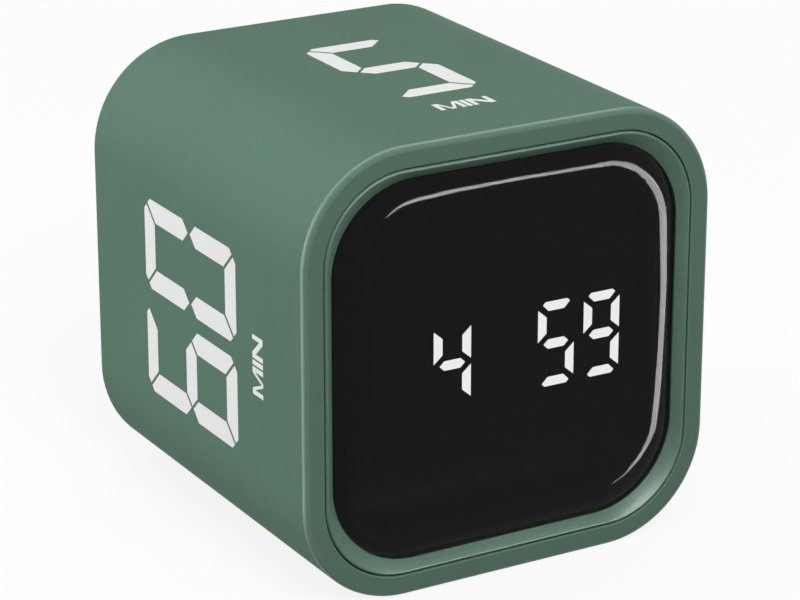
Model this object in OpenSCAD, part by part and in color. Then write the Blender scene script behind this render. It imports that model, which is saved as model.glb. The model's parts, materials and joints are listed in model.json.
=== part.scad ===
// Flip cube timer: a square case with rounded long edges, a black lens over a four-digit display,
// the minutes printed on the four sides it stands on, and a rear cover with a battery door.
// Every piece is drawn lying on its back, front towards +Z and centred, and upright() stands it up.

/* [Case] */
// Width and height of the case
case_w = 60; // [60:1:75]
// Depth of the case from front to rear
case_d = 60; // [52:1:90]
// Radius of the four long edges
corner_r = 14.5; // [13:0.5:16]
// Thickness of the side walls
wall = 2.2; // [1.8:0.1:2.5]
// Width of the front rim
rim_w = 2.85; // [2.6:0.05:3.4]
// Rounding of the front outer edge
front_round = 0.8; // [0.5:0.1:2]
// Rounding of the rear outer edge
rear_round = 1.2; // [0.5:0.1:1.6]
// Rounding of the two edges beside the front seam
seam_round = 0.2; // [0.1:0.05:0.4]
// Thickness of the inner flange behind the bezel
flange_t = 1.6; // [1.2:0.1:2.4]

/* [Bezel and lens] */
// Gap of the seam between rim and bezel
seam = 0.15; // [0.1:0.05:0.3]
// Width of the bezel's slope
bezel_w = 1.65; // [1.2:0.05:2]
// Depth of the lens edge behind the front plane
lens_drop = 1.1; // [0.6:0.1:1.6]
// Corner radius of the lens
lens_r = 11.6; // [10.5:0.1:12.4]
// Thickness of the lens
lens_t = 1.6; // [1.4:0.1:2.6]
// Height that the lens rises from its edge
lens_crown = 1; // [0.4:0.1:1.2]
// Width of the rolled edge of the lens
lens_roll = 4.2; // [2:0.1:5]
// Gap around the lens
lens_gap = 0.15; // [0.1:0.05:0.2]
// Width of the shelf under the edge of the lens
lens_shelf = 2.3; // [2:0.1:3]
// Thickness of the adhesive tape under the lens
tape_t = 0.3; // [0.2:0.05:0.6]
// Thickness of the bezel's ledge behind the tape
ledge_t = 1.4; // [1:0.1:2]

/* [Printed minutes] */
// Width of a printed digit
print_digit_w = 12.6; // [9:0.1:13]
// Height of a printed digit
print_digit_h = 26; // [18:0.5:28]
// Stroke of a printed digit
print_stroke = 3; // [2:0.1:3.4]
// Gap between two printed digits
print_digit_gap = 2.05; // [1:0.05:3]
// Distance from the front plane to the feet of the digits
print_digit_depth = 17.9; // [17:0.1:20]
// Distance from the front plane to the feet of the unit
print_unit_depth = 10.8; // [9:0.1:12]
// Height of the letters of the unit
print_unit_h = 2.8; // [2.4:0.1:3.4]
// Stroke of the letters of the unit
print_unit_stroke = 0.65; // [0.4:0.05:0.7]
// Depth of the print inlay
print_t = 0.3; // [0.2:0.05:0.6]

/* [Display] */
// Width of a display digit
digit_w = 5.5; // [5:0.05:6]
// Height of a display digit
digit_h = 11.6; // [10:0.1:13]
// Stroke of a display digit
digit_stroke = 1.3; // [1:0.05:1.5]
// Distance from digit to digit within a pair
digit_pitch = 6.95; // [6.5:0.05:7.5]
// Gap between the two pairs of digits
pair_gap = 10; // [8:0.5:11]
// Radius of a colon dot
colon_r = 0.7; // [0.4:0.05:0.9]
// Width of the display housing
housing_w = 39; // [38:0.5:42]
// Height of the display housing
housing_h = 16; // [15.5:0.5:20]
// Depth of the display housing
housing_t = 7; // [5:0.5:9]
// Depth of the segments in the housing
segment_t = 0.6; // [0.3:0.1:1]
// Gap between the display housing and the lens
display_gap = 0.1; // [0.1:0.05:0.6]
// Distance of the display below the middle of the lens
display_drop = 0.5; // [0:0.1:1]
// Radius of a display pin
pin_r = 0.25; // [0.2:0.05:0.4]
// Distance from pin to pin
pin_pitch = 5.08; // [4:0.02:6]
// Length of a pin behind the board
pin_tail = 1.2; // [0.8:0.1:2]

/* [Circuit boards] */
// Distance from the case's side to the main board
board_inset = 4; // [3.5:0.1:5]
// Thickness of the main board
board_t = 1.6; // [1:0.1:2]
// Gap between the control board and the corner posts
control_end_gap = 1; // [0.5:0.1:2]
// Height of the control board
control_board_h = 8.8; // [8:0.1:9]
// Thickness of the control board
control_board_t = 1.2; // [0.8:0.1:1.6]
// Height of the control board above the cover
control_gap = 5; // [4.8:0.1:6]
// Distance from the control board's end to its screw
control_screw_inset = 2; // [1.5:0.1:2.5]

/* [Screws] */
// Radius of a screw's thread
screw_r = 0.95; // [0.8:0.05:1]
// Radius of a screw's head
screw_head_r = 1.9; // [1.7:0.05:2]
// Height of a screw's head
screw_head_h = 1.3; // [1:0.1:1.4]
// Distance from the case's side to the corner screws
screw_inset = 8.7; // [8.5:0.05:8.9]
// Length of a main board screw
board_screw_l = 6; // [4:0.5:6]
// Length of a cover screw
cover_screw_l = 8; // [6:0.5:12]
// Length of a control board screw
control_screw_l = 5; // [3:0.5:5]
// Length of the corner posts for the cover screws
post_l = 12; // [12:0.5:16]
// Radius of the corner posts
post_r = 3; // [2.4:0.1:3.2]
// Radius of the main board's posts
boss_r = 2.6; // [2:0.1:3]

/* [Rear cover and door] */
// Depth of the cover behind the rear edge of the case
cover_recess = 1.2; // [0.8:0.1:2]
// Thickness of the rear cover
cover_t = 2.4; // [2.4:0.1:3]
// Gap around the rear cover
cover_gap = 0.2; // [0.1:0.05:0.3]
// Thickness of the battery door
door_t = 1.6; // [1.2:0.1:2]
// Gap around the battery door
door_gap = 0.3; // [0.25:0.05:0.4]
// Corner radius of the door opening
door_r = 2; // [1:0.1:3]
// Radius of the hinge barrel along the door's lower edge
barrel_r = 1.2; // [1.2:0.05:1.2]
// Radius of a hinge pin
hinge_pin_r = 0.6; // [0.5:0.05:0.6]
// Running clearance around a hinge pin
hinge_clear = 0.05; // [0.03:0.01:0.08]
// Length of a hinge pin beyond the door
hinge_pin_l = 1; // [0.8:0.05:1.4]
// Thickness of the foam pad inside the door
pad_t = 1; // [0.5:0.1:1.5]
// Radius of a sound hole
sound_hole_r = 0.5; // [0.3:0.05:0.7]
// Radius of the ring of sound holes
sound_ring_r = 2.2; // [1.8:0.1:2.6]

/* [Battery] */
// Gap between the tray and the corner posts
tray_post_gap = 0.75; // [0.5:0.05:1.5]
// Distance from the tray's ends to the cover's edge
tray_end_gap = 2; // [1.5:0.1:3]
// Gap between two cells
cell_space = 0.4; // [0.2:0.05:0.5]
// Gap between a cell and the pad, the tray's floor and its long walls
cell_gap = 0.3; // [0.2:0.05:0.35]
// Thickness of the tray's walls
tray_wall = 1.1; // [0.9:0.05:1.2]
// Thickness of the tray's floor
tray_floor = 1.2; // [1:0.1:2]
// Length of a pressed contact spring
spring_l = 3.7; // [3:0.1:3.8]
// Radius of the spring wire
spring_wire_r = 0.3; // [0.2:0.05:0.4]
// Thickness of the contact plates
contact_t = 0.4; // [0.3:0.05:0.5]
// Radius of a lead
lead_r = 0.5; // [0.4:0.05:0.6]

/* [Controls] */
// Travel of the sound switch to each side
switch_travel = 2; // [1.5:0.1:2]
// Length of the switch knob
knob_w = 4; // [3:0.1:4.2]
// Height of the switch knob
knob_h = 3; // [2.4:0.1:3.4]
// Height that the knob stands out of the cover
knob_out = 0.8; // [0.4:0.1:1]
// Radius of a button
button_r = 2.3; // [1.8:0.1:2.3]
// Height that a button stands out of the cover
button_out = 0.6; // [0.4:0.1:1]
// Travel of a button
button_travel = 0.5; // [0.3:0.1:0.6]
// Gap around the knob and the buttons in the cover
control_clear = 0.2; // [0.15:0.05:0.3]
// Diameter of the buzzer
buzzer_d = 8.4; // [7:0.1:8.4]
// Height of the buzzer
buzzer_h = 4.5; // [3:0.1:6]

/* [Hidden] */
$fn = 96;
eps = 0.01;
sage = [0.37, 0.48, 0.42];
dark_plastic = [0.1, 0.1, 0.1];
board_green = [0.1, 0.32, 0.2];
steel = [0.75, 0.75, 0.78];
white_ink = [0.91, 0.91, 0.91];

// Fits shared by several pieces
thread_fit = 0.02;
screw_clear = 0.15;
pocket_clear = 0.05;
tape_inset = 0.4;
tab_clear = 0.1;
// Room beyond the tip of a screw and above a sunk head
tip_room = 0.4;
head_room = 0.1;

// Battery tray between the corner posts, and the three largest cells that it takes: at these sizes
// a cell measures 10.5 by 44.5, an AAA cell
cover_w = case_w - 2 * wall - 2 * cover_gap;
cover_r = corner_r - wall - cover_gap;
screw_xy = case_w / 2 - screw_inset;
tray_top = screw_xy - post_r - tray_post_gap;
tray_h = 2 * tray_top - 2 * tray_wall;
tray_l = cover_w - 2 * tray_end_gap - 2 * tray_wall;
cell_d = (tray_h - 2 * cell_gap - 2 * cell_space) / 3;
cell_l = tray_l - spring_l - 2 * contact_t;
cell_pitch = cell_d + cell_space;

// Levels from the front plane inwards
front_z = case_d / 2;
lens_edge_z = front_z - lens_drop;
lens_top_z = lens_edge_z + lens_crown;
lens_back_z = lens_top_z - lens_t;
ledge_z = lens_back_z - tape_t;
flange_front_z = ledge_z - ledge_t;
flange_back_z = flange_front_z - flange_t;
housing_front_z = lens_back_z - display_gap;
board_front_z = housing_front_z - housing_t;
board_back_z = board_front_z - board_t;

// Levels from the rear plane inwards
rear_z = -case_d / 2;
cover_out_z = rear_z + cover_recess;
cover_in_z = cover_out_z + cover_t;
door_in_z = cover_out_z + door_t;
pad_in_z = door_in_z + pad_t;
cell_z = pad_in_z + cell_gap + cell_d / 2;
tray_floor_z = cell_z + cell_d / 2 + cell_gap;
tray_end_z = tray_floor_z + tray_floor;
control_back_z = cover_in_z + control_gap;
control_front_z = control_back_z + control_board_t;

// Outlines of the case, the bezel, the lens and the boards
bezel_out_w = case_w - 2 * rim_w - 2 * seam;
bezel_out_r = corner_r - rim_w - seam;
lens_w = bezel_out_w - 2 * bezel_w;
window_w = lens_w - 2 * lens_shelf;
flange_w = (case_w - window_w) / 2;
window_r = corner_r - flange_w;
lens_roll_r = (lens_roll * lens_roll + lens_crown * lens_crown) / (2 * lens_crown);
board_w = case_w - 2 * board_inset;
board_r = corner_r - board_inset;
corner_wall_reach = sqrt(2) * (case_w / 2 - corner_r) + corner_r - wall / 2;
post_rib_w = 2;
cover_seat_z = cover_out_z + screw_head_h + head_room;
boss_hole_l = board_screw_l - board_t + tip_room;
post_hole_l = cover_seat_z + cover_screw_l - cover_in_z + tip_room;
control_hole_l = control_screw_l - control_board_t + tip_room;

// Door and what lies in the tray
door_w = tray_l - 2 * door_gap;
door_h = tray_h - 2 * door_gap;
hinge_y = -door_h / 2 + barrel_r;
hinge_z = cover_out_z + barrel_r;
strip_y = (tray_top + cover_w / 2) / 2;
cell_button_r = 1.9;
cell_button_l = 1;
ridge_w = 1.2;
ridge_h = 2;
ridge_l = tray_l - 2 * spring_l;
notch_r = 6;
notch_t = 1.1;
pad_size = [40, 22];
latch_w = 8;
latch_t = 1;
latch_l = 1.8;
latch_bump_r = 0.3;

// Contact plates: single plates are one cell high and stay clear of the opening's round corners,
// bridges span two cells
plate_h = cell_d + 2 * cell_gap - 2 * door_r - 2 * tab_clear;
plate_rise = 4;
tab_w = 3;
tab_l = 2.4;
spring_turns = 3;
spring_r = 3;
spring_taper = 1.2;

// Sound switch and buttons
knob_flange_t = 1;
knob_flange_w = 5.6;
knob_flange_h = 5.2;
lever_w = 1.4;
lever_h = 1.2;
lever_in = 0.8;
lever_grip = 1.8;
switch_size = [8.6, 4.2, 3.5];
control_float = 0.2;
button_flange_w = 0.4;
button_flange_t = 0.8;
tact_w = 4.5;
tact_h = 1.8;
plunger_r = 0.95;
plunger_in = 0.6;
plunger_clear = 0.1;
stem_r = 1.2;
control_seat_z = cover_in_z + control_float;
control_post_r = 1.6;
ring_t = 0.65;
buzzer_clear = 0.1;

// The controls lie evenly between the control board's two screws
control_board_w = 2 * (screw_xy - post_r - control_end_gap);
control_screw_span = control_board_w - 2 * control_screw_inset;
switch_zone = knob_flange_w + 2 * switch_travel;
button_zone = 2 * (button_r + button_flange_w);
zone_gap = (control_screw_span - 2 * control_post_r - switch_zone - 2 * button_zone) / 4;
switch_x = -control_screw_span / 2 + control_post_r + zone_gap + switch_zone / 2;
button_x = switch_x + switch_zone / 2 + zone_gap + button_zone / 2;
button_pitch = button_zone + zone_gap;

// Places of the parts on the main board's rear side
chip_at = [-9, 13.5];
crystal_at = [6, 13.5];
sensor_at = [16, 13.5];
capacitor_at = [-16, -14];
resistor_row = -12;
resistor_pitch = 3;
transistor_row = -17;
transistor_pitch = 5;
chip_size = [10.4, 5.4, 1.8];
chip_leg = [0.4, 1.2, 0.6];
chip_leg_pitch = 1.27;
sensor_size = [5.4, 5.4, 4];
crystal_size = [11, 4.6, 3.5];
capacitor_r = 2.5;
capacitor_h = 7;
resistor_size = [1.6, 0.8, 0.5];
transistor_size = [2.9, 1.4, 1];
socket_size = [7.5, 4.6, 4];
ribbon_w = 5;
ribbon_t = 0.9;
ribbon_bow = 2;
lead_pad = [22, 5];
lead_bow = [-1.5, 3];
lead_start = 0.4;
buzzer_lead_gap = 3.2;
buzzer_lead_bow = [2, 1.5];
pin_row_inset = 2;

// Which segments each digit lights
LIT = ["abcdef", "bc", "abdeg", "abcdg", "bcfg", "acdfg", "acdefg", "abc", "abcdefg", "abcdfg"];
SEGMENT_NAMES = "abcdefg";
// Digits shown, left to right; a negative digit stays dark
SHOWN = [-1, 4, 5, 9];

// Stands a piece drawn on its back upright on the ground
module upright() {
    translate([0, 0, case_w / 2]) rotate([90, 0, 0]) children();
}

// Square with round corners
module round_square(w, r) {
    square([w, w - 2 * r], center = true);
    square([w - 2 * r, w], center = true);
    for (x = [-1, 1], y = [-1, 1])
        translate([x, y] * (w / 2 - r)) circle(r);
}

// Prism with a round-cornered square outline between two levels
module round_prism(w, r, z0, z1) {
    translate([0, 0, z0]) linear_extrude(z1 - z0) round_square(w, r);
}

// Carries a wall section round a square with round corners; the section's outer face is at x = 0
module ring_sweep(w, r) {
    for (turn = [0:90:270]) rotate(turn) {
        translate([w / 2 - r, w / 2 - r]) rotate_extrude(angle = 90) translate([r, 0]) children();
        translate([w / 2, 0]) rotate([90, 0, 0]) linear_extrude(w - 2 * r, center = true) children();
    }
}

// What a rounding takes off a corner that points to +x and +y
module corner_waste(r) {
    difference() {
        translate([-r, -r]) square(2 * r);
        translate([-r, -r]) circle(r);
    }
}

// Runs its children at the four corner screws
module at_corners() {
    for (x = [-1, 1], y = [-1, 1])
        translate([x, y] * screw_xy) children();
}

// Turns its children, drawn for the top side, to a side: 0 top, 1 left, 2 bottom, 3 right
module on_side(turn) {
    rotate(90 * turn) translate([0, case_w / 2]) rotate([-90, 0, 0]) children();
}

// Pan-head screw with a cross recess, its thread towards -Z from z = 0
module screw(l) {
    slot_w = 0.5;
    slot_l = 2.2;
    slot_t = 0.6;
    difference() {
        union() {
            cylinder(r = screw_head_r, h = screw_head_h);
            translate([0, 0, -l]) cylinder(r = screw_r, h = l);
        }
        for (turn = [0, 90]) rotate(turn)
            translate([0, 0, screw_head_h]) cube([slot_l, slot_w, 2 * slot_t], center = true);
    }
}

// Round wire along a list of points, its ends square to the first and last step
function unit(v) = v / norm(v);
function step_at(p, i) = unit(p[min(i + 1, len(p) - 1)] - p[max(i - 1, 0)]);
function side_of(t, up) = unit(cross(t, up));
module wire(points, r, sides, up) {
    n = len(points);
    rings = [
        for (i = [0:n - 1])
            let (t = step_at(points, i), s = side_of(t, up), u = cross(t, s))
                for (k = [0:sides - 1])
                    points[i] + r * (cos(360 * k / sides) * s + sin(360 * k / sides) * u)
    ];
    skin = [
        for (i = [0:n - 2], k = [0:sides - 1])
            let (a = i * sides + k, b = i * sides + (k + 1) % sides)
                each [[a, b, a + sides], [b, b + sides, a + sides]]
    ];
    start_cap = [for (k = [1:sides - 2]) [0, k + 1, k]];
    last = (n - 1) * sides;
    end_cap = [for (k = [1:sides - 2]) [last, last + k, last + k + 1]];
    polyhedron(rings, [for (f = concat(skin, start_cap, end_cap)) [f[0], f[2], f[1]]]);
}

// Smooth lead between two levels that starts and ends along Z and swings across on the way
function ease(t) = t * t * (3 - 2 * t);
function lead_points(from, to, bow, n = 18) = [
    for (i = [0:n])
        let (t = i / n, s = ease(t))
            [from.x + (to.x - from.x) * s + bow.x * pow(sin(180 * t), 2),
             from.y + (to.y - from.y) * s + bow.y * pow(sin(180 * t), 2),
             from.z + (to.z - from.z) * t]
];

// Seven-segment shapes: mirrored copies of one bar, one upright and the middle bar
function flip_u(pts, w) = [for (p = pts) [w - p.x, p.y]];
function flip_v(pts, h) = [for (p = pts) [p.x, h - p.y]];
function seven(a, f, g, w, h) =
    [a, flip_u(f, w), flip_v(flip_u(f, w), h), flip_v(a, h), flip_v(f, h), f, g];
function is_lit(digit, i) = digit >= 0 && len(search(SEGMENT_NAMES[i], LIT[digit])) > 0;

// Printed style: uprights end in points at the middle, outer corners cut at 45 degrees
function print_segments(w, h, t) =
    let (c = 0.55 * t, e = 0.1 * t, s = (c - e) / 2, m = h / 2)
        seven([[c, h], [w - c, h], [w - s - e, h - s], [w - t - e, h - t], [t + e, h - t], [s + e, h - s]],
              [[0, h - c], [s, h - s - e], [t, h - t - e], [t, m + t / 2 + e], [t / 2, m + e],
               [0, m + t / 2 + e]],
              [[t / 2 + e, m], [t + e, m + t / 2], [w - t - e, m + t / 2], [w - t / 2 - e, m],
               [w - t - e, m - t / 2], [t + e, m - t / 2]],
              w, h);

// Display style: uprights are slanted at both ends
function display_segments(w, h, t) =
    let (m = h / 2, low = 0.3 * t, cut = 0.77 * t, slant = 0.85 * t)
        seven([[0.85 * t, h], [w - 0.85 * t, h], [w - 0.54 * t, h - 0.31 * t], [w - 1.2 * t, h - 0.98 * t],
               [1.2 * t, h - 0.98 * t], [0.54 * t, h - 0.31 * t]],
              [[0, m + low], [0, h - cut], [t, h - cut - slant], [t, m + low + slant]],
              [[0.67 * t, m], [1.2 * t, m + t / 2], [w - 1.2 * t, m + t / 2], [w - 0.67 * t, m],
               [w - 1.2 * t, m - t / 2], [1.2 * t, m - t / 2]],
              w, h);

// Wide M whose two slopes meet on a foot in the middle
module letter_m(w, h, s) {
    top = 1.3 * s;
    foot = 0.9 * s;
    inner = 0.78 * h;
    slope = inner / ((w - foot) / 2 - s);
    notch = h - slope * (w / 2 - top);
    polygon([
        [0, 0], [0, h], [top, h], [w / 2, notch], [w - top, h], [w, h], [w, 0], [w - s, 0], [w - s, inner],
        [(w + foot) / 2, 0], [(w - foot) / 2, 0], [s, inner], [s, 0]
    ]);
}

module letter_n(w, h, s) {
    run = w - 1.2 * s;
    rise = 1.25 * h * s / run;
    polygon([
        [0, 0], [0, h], [1.2 * s, h], [w - s, rise], [w - s, h], [w, h], [w, 0], [run, 0],
        [s, h - rise], [s, 0]
    ]);
}

// The unit under the number, centred
module unit_letters() {
    m_w = 1.34 * print_unit_h;
    n_w = 1.13 * print_unit_h;
    letter_gap = 0.09 * print_unit_h;
    total = m_w + print_unit_stroke + n_w + 2 * letter_gap;
    translate([-total / 2, 0]) letter_m(m_w, print_unit_h, print_unit_stroke);
    translate([-total / 2 + m_w + letter_gap, 0]) square([print_unit_stroke, print_unit_h]);
    translate([total / 2 - n_w, 0]) letter_n(n_w, print_unit_h, print_unit_stroke);
}

// Number of minutes and its unit as they are printed on a side, feet towards the front
module print_outline(digits) {
    pitch = print_digit_w + print_digit_gap;
    start = -(len(digits) * pitch - print_digit_gap) / 2;
    shapes = print_segments(print_digit_w, print_digit_h, print_stroke);
    for (k = [0:len(digits) - 1], i = [0:6])
        if (is_lit(digits[k], i))
            translate([start + k * pitch, print_digit_depth - front_z]) polygon(shapes[i]);
    translate([0, print_unit_depth - front_z]) unit_letters();
}

module print_solid(turn, digits) {
    on_side(turn) translate([0, 0, -print_t]) linear_extrude(print_t) print_outline(digits);
}

module mark_5() { color(white_ink) upright() print_solid(0, [5]); }
module mark_60() { color(white_ink) upright() print_solid(1, [6, 0]); }
module mark_30() { color(white_ink) upright() print_solid(2, [3, 0]); }
module mark_15() { color(white_ink) upright() print_solid(3, [1, 5]); }

// Section of the case wall with the front rim and the inner flange
module case_section() {
    difference() {
        polygon([
            [0, rear_z], [0, front_z], [-rim_w, front_z], [-rim_w, flange_front_z],
            [-flange_w, flange_front_z], [-flange_w, flange_back_z], [-wall, flange_back_z], [-wall, rear_z]
        ]);
        translate([0, front_z]) corner_waste(front_round);
        translate([0, rear_z]) mirror([0, 1]) corner_waste(rear_round);
        translate([-rim_w, front_z]) mirror([1, 0]) corner_waste(seam_round);
    }
}

// Post in a corner of the case, tied to the wall by a rib
module corner_post(z0, z1, r) {
    rib_start = sqrt(2) * screw_xy + 0.6 * r;
    at_corners() translate([0, 0, z0]) cylinder(r = r, h = z1 - z0);
    for (turn = [45:90:315]) rotate(turn)
        translate([rib_start, -post_rib_w / 2, z0])
            cube([corner_wall_reach - rib_start, post_rib_w, z1 - z0]);
}

module body_shell() {
    color(sage) upright() difference() {
        union() {
            ring_sweep(case_w, corner_r) case_section();
            corner_post(board_front_z, flange_front_z, boss_r);
            corner_post(cover_in_z, cover_in_z + post_l, post_r);
        }
        at_corners() {
            translate([0, 0, board_front_z - eps])
                cylinder(r = screw_r + thread_fit, h = boss_hole_l + eps);
            translate([0, 0, cover_in_z - eps])
                cylinder(r = screw_r + thread_fit, h = post_hole_l + eps);
        }
        print_solid(0, [5]);
        print_solid(1, [6, 0]);
        print_solid(2, [3, 0]);
        print_solid(3, [1, 5]);
    }
}

module front_bezel() {
    pocket_w = lens_w + 2 * lens_gap;
    pocket_r = lens_r + lens_gap;
    color(sage) upright() difference() {
        round_prism(bezel_out_w, bezel_out_r, flange_front_z, front_z);
        round_prism(window_w, window_r, flange_front_z - 1, front_z + 1);
        round_prism(pocket_w, pocket_r, ledge_z, front_z + 1);
        hull() {
            round_prism(pocket_w, pocket_r, lens_edge_z, lens_edge_z + eps);
            round_prism(bezel_out_w - 2 * seam_round, bezel_out_r - seam_round, front_z, front_z + eps);
        }
    }
}

module lens_tape() {
    color(dark_plastic) upright() difference() {
        round_prism(lens_w - 2 * tape_inset, lens_r - tape_inset, ledge_z, lens_back_z);
        round_prism(window_w + tape_inset, window_r + tape_inset / 2, ledge_z - 1, lens_back_z + 1);
    }
}

module display_lens() {
    color(dark_plastic) upright() {
        round_prism(lens_w - 2 * lens_roll, lens_r - lens_roll, lens_back_z, lens_top_z);
        ring_sweep(lens_w, lens_r) intersection() {
            translate([-lens_roll, lens_back_z]) square([lens_roll, lens_t]);
            translate([-lens_roll, lens_top_z - lens_roll_r]) circle(lens_roll_r);
        }
    }
}

// Left edge of each display digit, the pairs standing clear of the colon
function digit_x(k) = k < 2 ? -pair_gap / 2 - digit_w - (1 - k) * digit_pitch
                            : pair_gap / 2 + (k - 2) * digit_pitch;

// Display segments that are lit, or those that are dark
module segment_outline(lit) {
    shapes = display_segments(digit_w, digit_h, digit_stroke);
    translate([0, -display_drop]) {
        for (k = [0:3], i = [0:6])
            if (is_lit(SHOWN[k], i) == lit)
                translate([digit_x(k), -digit_h / 2]) polygon(shapes[i]);
        if (!lit)
            for (side = [-1, 1])
                translate([0, side * digit_h / 4]) circle(colon_r);
    }
}

module segment_solid(lit) {
    translate([0, 0, housing_front_z - segment_t]) linear_extrude(segment_t) segment_outline(lit);
}

module display_housing() {
    color(dark_plastic) upright() difference() {
        translate([-housing_w / 2, -housing_h / 2 - display_drop, board_front_z])
            cube([housing_w, housing_h, housing_t]);
        segment_solid(true);
        segment_solid(false);
    }
}

module lit_segments() { color("white") upright() segment_solid(true); }
module dark_segments() { color([0.2, 0.2, 0.2]) upright() segment_solid(false); }

// Runs its children at the display's pins
module at_pins() {
    row = housing_h / 2 - pin_row_inset;
    for (x = [-2.5:2.5], side = [-1, 1])
        translate([x * pin_pitch, side * row - display_drop]) children();
}

module display_pins() {
    color(steel) upright() at_pins()
        translate([0, 0, board_back_z - pin_tail]) cylinder(r = pin_r, h = board_t + pin_tail);
}

module main_board() {
    color(board_green) upright() difference() {
        round_prism(board_w, board_r, board_back_z, board_front_z);
        at_corners() translate([0, 0, board_back_z - 1])
            cylinder(r = screw_r + screw_clear, h = board_t + 2);
        at_pins() translate([0, 0, board_back_z - 1])
            cylinder(r = pin_r + pocket_clear, h = board_t + 2);
    }
}

module board_screws() {
    color(steel) upright() at_corners()
        translate([0, 0, board_back_z]) mirror([0, 0, 1]) screw(board_screw_l);
}

// Block on the rear side of the main board
module board_block(at, size) {
    translate([at.x - size.x / 2, at.y - size.y / 2, board_back_z - size.z]) cube(size);
}

module controller_chip() {
    color(dark_plastic) upright() {
        board_block(chip_at, chip_size);
        for (i = [-3.5:3.5], side = [-1, 1])
            board_block(chip_at + [i * chip_leg_pitch, side * (chip_size.y + chip_leg.y) / 2], chip_leg);
    }
}

module gravity_sensor() { color("gray") upright() board_block(sensor_at, sensor_size); }

module crystal() {
    can = crystal_size;
    color(steel) upright() translate([crystal_at.x, crystal_at.y, board_back_z - can.z])
        linear_extrude(can.z) {
            square([can.x - can.y, can.y], center = true);
            for (side = [-1, 1]) translate([side * (can.x - can.y) / 2, 0]) circle(can.y / 2);
        }
}

module supply_capacitor() {
    color("dimgray") upright() translate([capacitor_at.x, capacitor_at.y, board_back_z - capacitor_h])
        cylinder(r = capacitor_r, h = capacitor_h);
}

module driver_resistors() {
    color(dark_plastic) upright() for (i = [-3.5:3.5])
        board_block([i * resistor_pitch, resistor_row], resistor_size);
}

module digit_transistors() {
    color(dark_plastic) upright() for (i = [-1.5:1.5])
        board_block([i * transistor_pitch, transistor_row], transistor_size);
}

module cable_socket() {
    color("ivory") upright() board_block([0, strip_y], socket_size);
}

// Flat ribbon from the control board to the socket, bowed a little towards the middle
module control_cable() {
    start = control_front_z;
    end = board_back_z - socket_size.z;
    steps = 16;
    line = [for (i = [0:steps]) let (t = i / steps)
        [start + (end - start) * t, strip_y - ribbon_bow * pow(sin(180 * t), 2)]];
    upper = [for (p = line) p + [0, ribbon_t / 2]];
    lower = [for (i = [steps:-1:0]) line[i] - [0, ribbon_t / 2]];
    color("lightgray") upright() rotate([0, -90, 0])
        linear_extrude(ribbon_w, center = true) polygon(concat(upper, lower));
}

// Outline of the door or, with no gap, of its opening: round corners at the top only
module door_outline(w, h) {
    translate([-w / 2, -h / 2]) square([w, h - door_r]);
    translate([-w / 2 + door_r, -h / 2]) square([w - 2 * door_r, h]);
    for (side = [-1, 1])
        translate([side * (w / 2 - door_r), h / 2 - door_r]) circle(door_r);
}

// Runs its children at the control board's two screws
module at_control_screws() {
    for (side = [-1, 1])
        translate([side * control_screw_span / 2, strip_y]) children();
}

// Runs its children at the two buttons
module at_button(k) { translate([button_x + k * button_pitch, strip_y]) children(); }

module rear_cover() {
    slot = [knob_w + 2 * switch_travel + 2 * control_clear, knob_h + 2 * control_clear];
    color(sage) upright() difference() {
        union() {
            round_prism(cover_w, cover_r, cover_out_z, cover_in_z);
            translate([-tray_l / 2 - tray_wall, -tray_top, cover_in_z - eps])
                cube([tray_l + 2 * tray_wall, 2 * tray_top, tray_end_z - cover_in_z + eps]);
            at_control_screws() translate([0, 0, cover_in_z - eps])
                cylinder(r = control_post_r, h = control_gap + eps);
            translate([0, -strip_y, cover_in_z - eps]) difference() {
                cylinder(r = buzzer_d / 2 + buzzer_clear + ring_t, h = buzzer_h / 2 + eps);
                translate([0, 0, eps]) cylinder(r = buzzer_d / 2 + buzzer_clear, h = buzzer_h);
            }
        }
        difference() {
            translate([0, 0, cover_out_z - 1])
                linear_extrude(tray_floor_z - cover_out_z + 1) door_outline(tray_l, tray_h);
            for (side = [-1, 1])
                translate([-ridge_l / 2, side * cell_pitch / 2 - ridge_w / 2, tray_floor_z - ridge_h])
                    cube([ridge_l, ridge_w, ridge_h + 1]);
        }
        for (side = [-1, 1]) {
            translate([side * (tray_l / 2 - contact_t / 2), side * cell_pitch, tray_floor_z])
                cube([contact_t + 2 * tab_clear, tab_w + 2 * tab_clear, 3 * tray_floor], center = true);
            translate([side * tray_l / 2, hinge_y, hinge_z]) rotate([0, side * 90, 0])
                cylinder(r = hinge_pin_r + hinge_clear, h = hinge_pin_l);
        }
        translate([0, tray_h / 2 - notch_r / 2, cover_out_z - 1]) cylinder(r = notch_r, h = notch_t + 1);
        at_corners() {
            translate([0, 0, cover_out_z - 1])
                cylinder(r = screw_head_r + screw_clear, h = cover_seat_z - cover_out_z + 1);
            translate([0, 0, cover_out_z - 1]) cylinder(r = screw_r + screw_clear, h = cover_t + 2);
        }
        at_control_screws() translate([0, 0, control_back_z - control_hole_l])
            cylinder(r = screw_r + thread_fit, h = control_hole_l + 1);
        translate([switch_x, strip_y, cover_in_z]) cube([slot.x, slot.y, 3 * cover_t], center = true);
        for (k = [0, 1]) at_button(k) translate([0, 0, cover_out_z - 1])
            cylinder(r = button_r + control_clear, h = cover_t + 2);
        translate([0, -strip_y, cover_out_z - 1]) {
            cylinder(r = sound_hole_r, h = cover_t + 2);
            for (turn = [0:60:300]) rotate(turn) translate([sound_ring_r, 0])
                cylinder(r = sound_hole_r, h = cover_t + 2);
        }
    }
}

module cover_screws() {
    color(steel) upright() at_corners()
        translate([0, 0, cover_seat_z]) mirror([0, 0, 1]) screw(cover_screw_l);
}

// Cells lie side by side, each turned about from its neighbour; +1 has its button to the right
CELL_TURNS = [[-1, 1], [0, -1], [1, 1]];

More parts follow.
